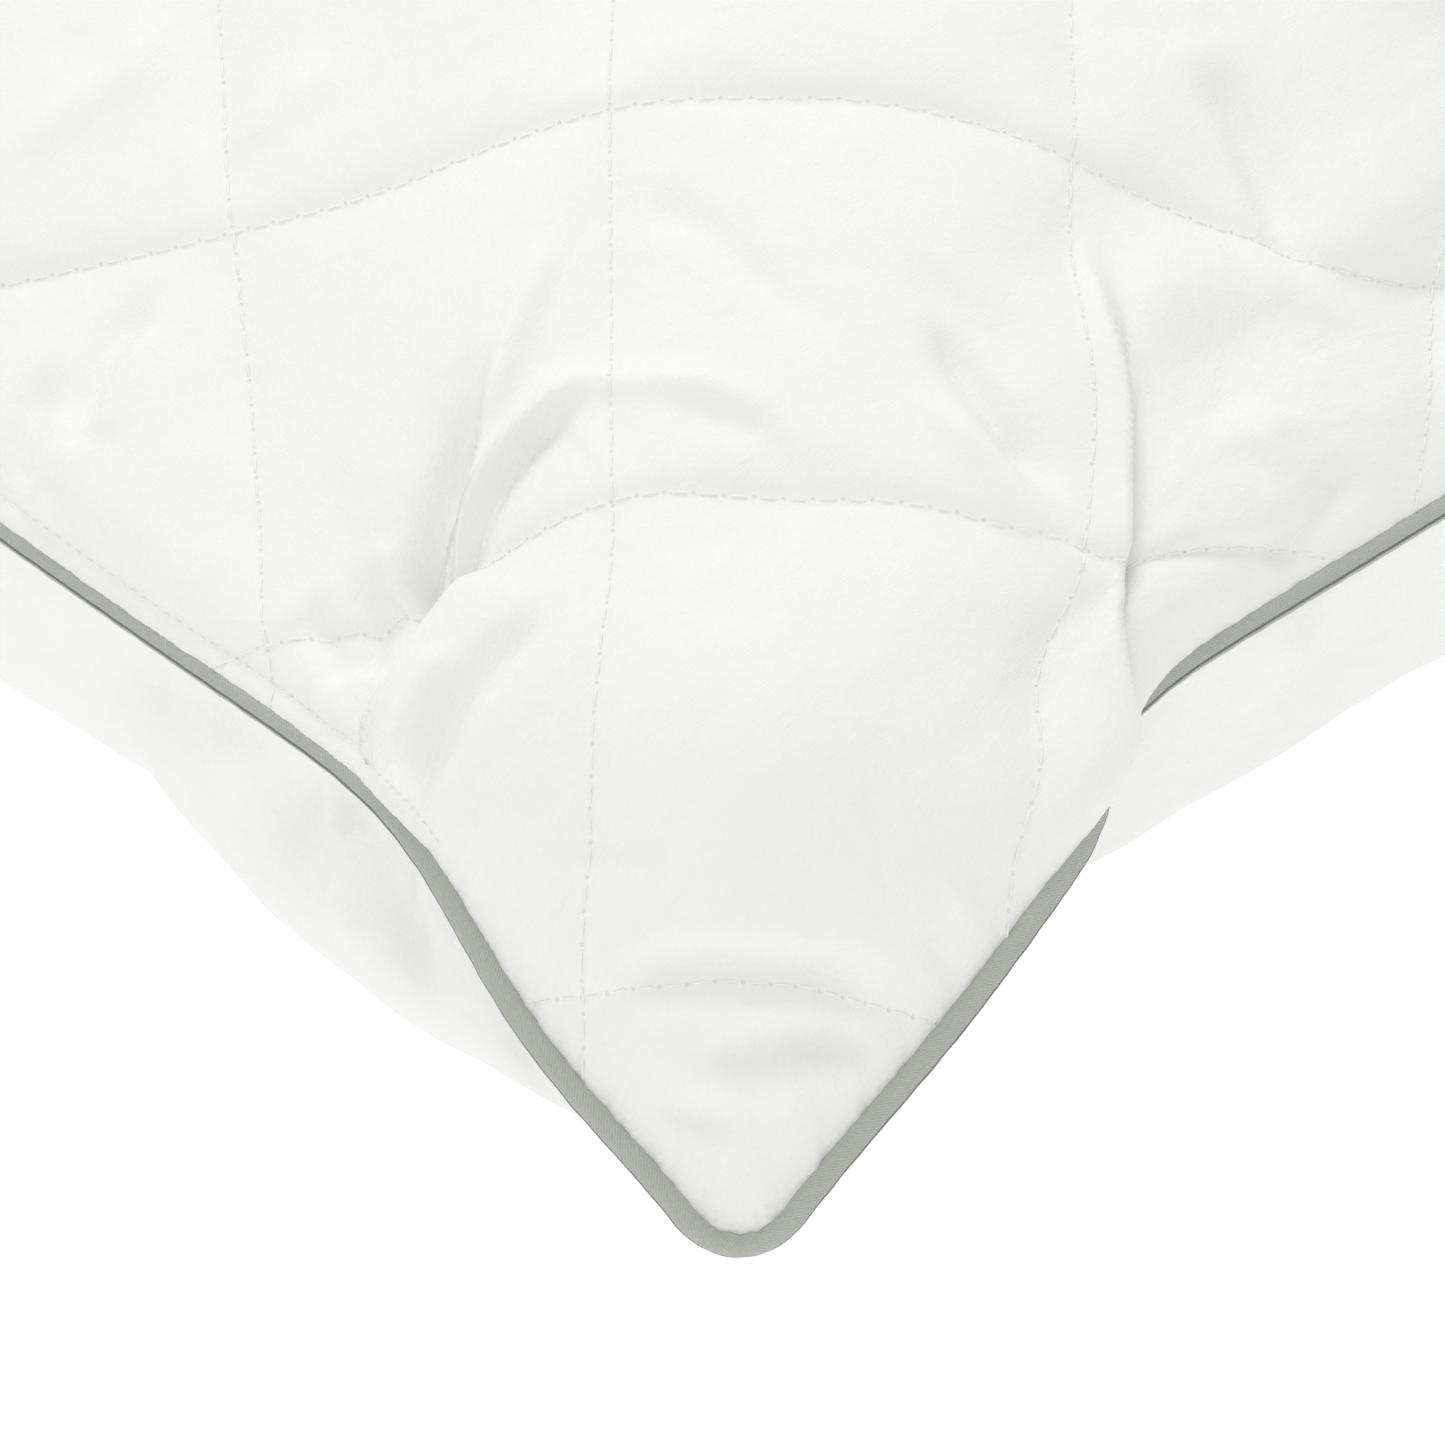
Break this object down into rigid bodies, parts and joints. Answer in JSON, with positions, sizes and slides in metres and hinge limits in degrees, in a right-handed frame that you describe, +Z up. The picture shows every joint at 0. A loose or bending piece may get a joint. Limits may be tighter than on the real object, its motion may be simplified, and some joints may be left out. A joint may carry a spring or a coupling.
{
  "type": "bed pillow",
  "caption": "Plump rectangular bed pillow with a bias-quilted white top, a plain underside, drooping corner ears and grey twill piping round the seam.",
  "frame": {"origin": "centre of the pillow's box, on the bed that it lies on", "axes": "+X along the length, +Y from the front long edge to the back long edge, +Z up out of the quilted top"},
  "size_m": [0.6956, 0.4956, 0.1682],
  "materials": {
    "cotton_sateen": "white cotton sateen, fine weave with a soft sheen",
    "polyester_wadding": "matt white quilting wadding",
    "nonwoven_lining": "thin matt non-woven backing",
    "quilting_thread": "white polyester thread, slightly glossy",
    "fibre_fill": "loose white polyester fibre",
    "grey_twill": "grey cotton twill tape, matt, with a fine diagonal rib",
    "cotton_cord": "undyed cotton cord",
    "sewing_thread": "off-white sewing thread"
  },
  "bodies": {
    "root": {"top_cover": "cotton_sateen", "top_wadding": "polyester_wadding", "top_lining": "nonwoven_lining", "quilt_thread_along": "quilting_thread", "quilt_thread_across": "quilting_thread", "bottom_cover": "cotton_sateen", "fill_core": "fibre_fill", "piping_tape": "grey_twill", "piping_cord": "cotton_cord", "seam_thread": "sewing_thread", "closing_thread": "quilting_thread"}
  },
  "joints": []
}
